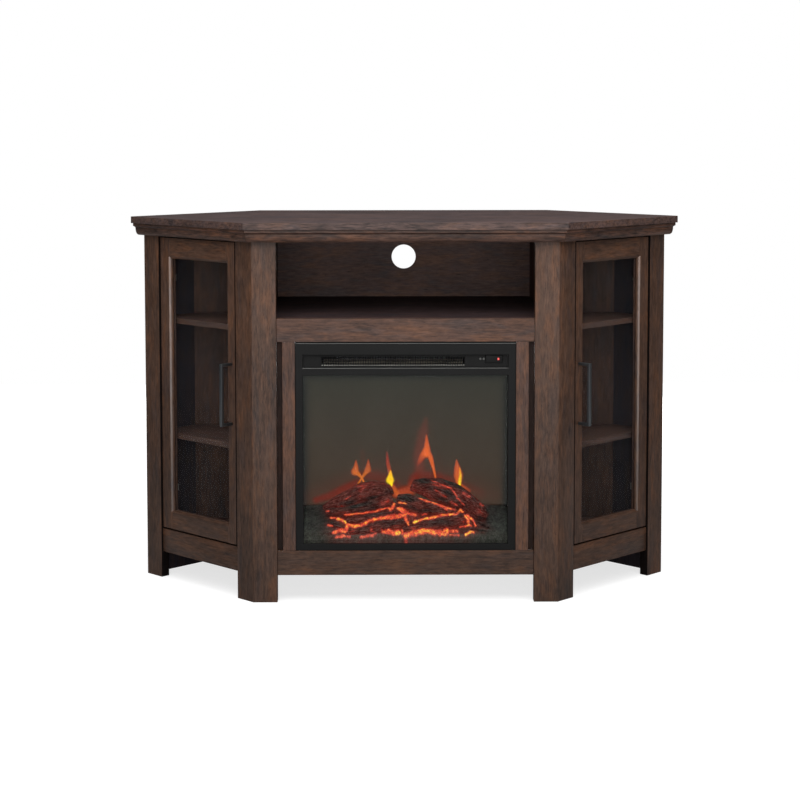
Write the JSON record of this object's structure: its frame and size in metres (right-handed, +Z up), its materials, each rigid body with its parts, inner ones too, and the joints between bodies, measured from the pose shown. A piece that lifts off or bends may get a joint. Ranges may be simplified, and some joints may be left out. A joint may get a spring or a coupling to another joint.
{
  "type": "fireplace tv stand",
  "caption": "Corner television stand in dark wood with two glass doors, an open media bay and an electric fireplace insert.",
  "frame": {"origin": "on the floor under the middle of the top's outline", "axes": "+X to the viewer's right along the front, +Y to the room corner behind, +Z up"},
  "size_m": [1.2192, 0.5394, 0.8128],
  "materials": {
    "dark_wood": "satin",
    "inner_wood": "satin",
    "clear_glass": "polished",
    "smoked_glass": "polished",
    "handle_metal": "brushed dark",
    "plated_steel": "nickel plated",
    "bright_aluminium": "bright",
    "black_metal": "powder coated",
    "black_plastic": "matt",
    "screen_film": "diffusing film",
    "charred_log": "charred, cast",
    "ash_ember": "rough ash",
    "heater_ribbon": "bare alloy",
    "lamp_board": "circuit board"
  },
  "bodies": {
    "case": {"top_slab": "dark_wood", "crown_front": "dark_wood", "crown_left": "dark_wood", "crown_right": "dark_wood", "front_left_post": "dark_wood", "front_right_post": "dark_wood", "outer_left_post": "dark_wood", "outer_right_post": "dark_wood", "left_wall_panel": "dark_wood", "right_wall_panel": "dark_wood", "mid_rail": "dark_wood", "front_bottom_rail": "dark_wood", "left_bottom_rail": "dark_wood", "right_bottom_rail": "dark_wood", "left_filler": "dark_wood", "right_filler": "dark_wood", "left_divider": "inner_wood", "right_divider": "inner_wood", "left_cupboard_back": "inner_wood", "right_cupboard_back": "inner_wood", "bottom_panel": "inner_wood", "media_shelf": "inner_wood", "media_back_panel": "inner_wood", "left_lower_shelf": "inner_wood", "left_upper_shelf": "inner_wood", "right_lower_shelf": "inner_wood", "right_upper_shelf": "inner_wood", "left_upper_hinge_arm": "plated_steel", "left_lower_hinge_arm": "plated_steel", "right_upper_hinge_arm": "plated_steel", "right_lower_hinge_arm": "plated_steel", "insert_housing": "black_metal", "insert_front_frame": "black_metal", "insert_glass": "smoked_glass", "heater_grille": "black_metal", "control_fascia": "black_plastic", "flame_screen": "screen_film", "ember_bed": "ash_ember", "left_log": "charred_log", "right_log": "charred_log", "spindle_motor": "plated_steel", "blower_motor": "plated_steel", "heating_element": "heater_ribbon", "lamp_board": "lamp_board", "power_inlet": "black_plastic"},
    "left_door": {"left_door_frame": "dark_wood", "left_door_glass": "clear_glass", "left_door_handle": "handle_metal", "left_upper_hinge_cup": "plated_steel", "left_lower_hinge_cup": "plated_steel"},
    "right_door": {"right_door_frame": "dark_wood", "right_door_glass": "clear_glass", "right_door_handle": "handle_metal", "right_upper_hinge_cup": "plated_steel", "right_lower_hinge_cup": "plated_steel"},
    "power_rocker": {"power_rocker": "black_plastic"},
    "mode_button": {"mode_button": "black_plastic"},
    "heat_button": {"heat_button": "black_plastic"},
    "flame_spindle": {"flame_spindle": "bright_aluminium"},
    "blower_wheel": {"blower_wheel": "bright_aluminium"}
  },
  "joints": [
    {"name": "left_door_hinge", "type": "hinge", "parent": "case", "child": "left_door", "pos_m": [-0.54293, -0.01011, 0.44075], "axis": [0, 0, -1], "range_deg": [0, 105]},
    {"name": "right_door_hinge", "type": "hinge", "parent": "case", "child": "right_door", "pos_m": [0.54293, -0.01011, 0.44075], "axis": [0, 0, 1], "range_deg": [0, 105]},
    {"name": "power_rocker_tilt", "type": "hinge", "parent": "case", "child": "power_rocker", "pos_m": [0.1876, -0.2197, 0.5212], "axis": [0, 0, 1], "range_deg": [-7, 7]},
    {"name": "mode_button_press", "type": "slide", "parent": "case", "child": "mode_button", "axis": [0, 1, 0], "range_m": [0, 0.001], "stiffness_N_per_m": 40},
    {"name": "heat_button_press", "type": "slide", "parent": "case", "child": "heat_button", "axis": [0, 1, 0], "range_m": [0, 0.001], "stiffness_N_per_m": 40},
    {"name": "flame_spindle_spin", "type": "hinge", "parent": "case", "child": "flame_spindle", "pos_m": [0, -0.06035, 0.162], "axis": [1, 0, 0], "continuous": true},
    {"name": "blower_spin", "type": "hinge", "parent": "case", "child": "blower_wheel", "pos_m": [-0.031, -0.1357, 0.522], "axis": [1, 0, 0], "continuous": true}
  ]
}
